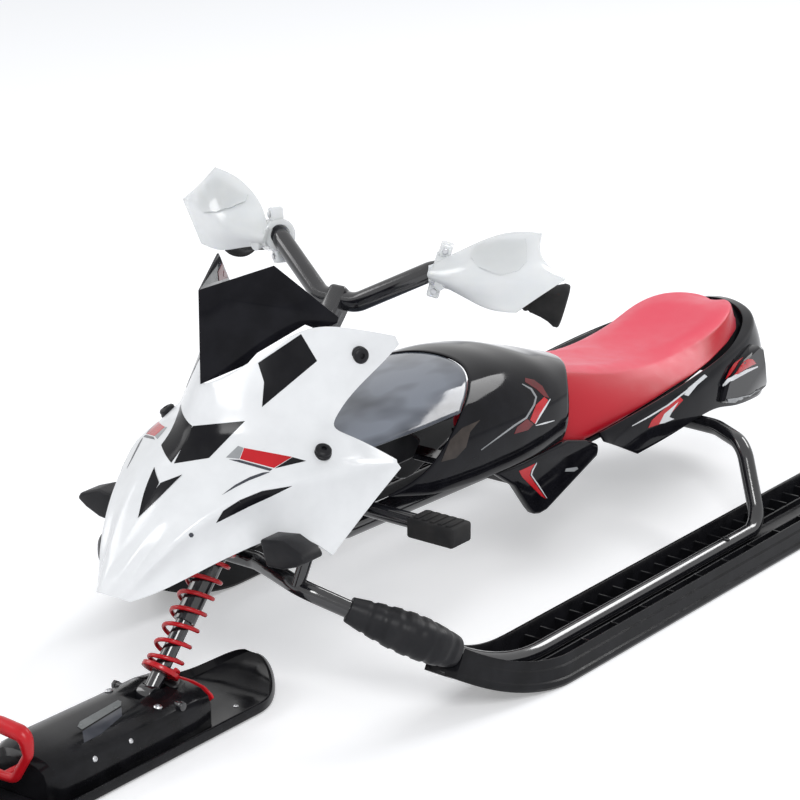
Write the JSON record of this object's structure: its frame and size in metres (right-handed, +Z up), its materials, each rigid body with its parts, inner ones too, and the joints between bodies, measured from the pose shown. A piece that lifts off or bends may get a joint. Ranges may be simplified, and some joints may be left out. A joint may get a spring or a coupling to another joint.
{
  "type": "ski bike",
  "caption": "Child's ski bike: tube frame on ribbed rear skis, sprung steering front ski, nose fairing and seat.",
  "frame": {"origin": "bottom centre of the bounding box, on the ground the skis stand on", "axes": "-Y is the front of the bike, +X the rider's left, +Z up"},
  "size_m": [0.514, 1.3799, 0.457],
  "materials": {
    "black_paint": "gloss",
    "black_plastic": "satin",
    "black_gloss": "high gloss",
    "grey_gloss": "high gloss",
    "white_gloss": "gloss",
    "white_clear": "translucent milky",
    "red_paint": "gloss",
    "red_plastic": "satin",
    "red_vinyl": "smooth vinyl",
    "dark_rubber": "matt",
    "zinc": "plated"
  },
  "bodies": {
    "chassis": {"rear_hoop_tube": "black_paint", "front_hoop_tube": "black_paint", "rear_ski_left": "black_plastic", "rear_ski_right": "black_plastic", "toe_boot_left": "black_plastic", "toe_boot_right": "black_plastic", "foot_bar": "black_paint", "foot_pad_left": "dark_rubber", "foot_pad_right": "dark_rubber", "front_peg_left": "dark_rubber", "front_peg_right": "dark_rubber", "peg_post_left": "black_paint", "peg_post_right": "black_paint", "tail_block_left": "black_gloss", "tail_block_right": "black_gloss", "side_panel_left": "black_gloss", "side_panel_right": "black_gloss", "fairing_screw_upper_left": "black_plastic", "fairing_screw_upper_right": "black_plastic", "fairing_screw_lower_left": "black_plastic", "fairing_screw_lower_right": "black_plastic", "head_tube": "black_paint", "head_bearing_lower": "black_plastic", "head_bearing_upper": "black_plastic", "spine_tube": "black_paint", "head_gusset": "black_paint", "seat_bracket_rear": "black_paint", "seat_bracket_front": "black_paint", "seat_cushion": "red_vinyl", "seat_pan": "black_plastic", "tail_cowl": "black_gloss", "fairing": "white_gloss", "windscreen": "black_gloss", "fairing_bracket": "black_plastic", "tank_cover": "black_gloss", "tank_front_panel": "grey_gloss", "panel_brace": "black_paint", "fairing_stay": "black_paint"},
    "steering": {"steerer_tube": "black_paint", "upper_spring_seat": "black_plastic", "stem_clamp": "black_paint", "handlebar": "black_paint", "grip_left": "dark_rubber", "grip_right": "dark_rubber", "guard_clamp_left": "white_clear", "guard_clamp_right": "white_clear", "hand_guard_left": "white_clear", "hand_guard_right": "white_clear"},
    "fork": {"fork_leg": "black_paint", "lower_spring_seat": "red_paint", "fork_spring": "red_paint"},
    "front_ski": {"front_ski": "black_plastic", "reel_housing": "black_plastic", "housing_trim": "red_plastic", "ski_pin": "zinc"},
    "tow_reel": {"tow_reel": "black_plastic"},
    "tow_handle": {"tow_handle": "red_plastic"}
  },
  "joints": [
    {"name": "steering", "type": "hinge", "parent": "chassis", "child": "steering", "pos_m": [0, -0.352, 0.062], "axis": [0, 0.6782, 0.7349], "range_deg": [-30, 30]},
    {"name": "fork_slide", "type": "slide", "parent": "steering", "child": "fork", "axis": [0, 0.6782, 0.7349], "range_m": [0, 0.025], "stiffness_N_per_m": 6000, "springref_m": -0.012, "deforming": ["fork_spring"]},
    {"name": "ski_pitch", "type": "hinge", "parent": "fork", "child": "front_ski", "pos_m": [0, -0.37099, 0.04142], "axis": [1, 0, 0], "range_deg": [-12, 12]},
    {"name": "handle_pull", "type": "slide", "parent": "front_ski", "child": "tow_handle", "axis": [0, -1, 0], "range_m": [0, 0.018]},
    {"name": "reel_spin", "type": "hinge", "parent": "front_ski", "child": "tow_reel", "pos_m": [0, -0.47, 0.02], "axis": [0, 0, 1], "range_deg": [0, 60]}
  ],
  "couplings": [
    {"joint": "reel_spin", "follows": "handle_pull", "rad_per_m": 55.5}
  ]
}
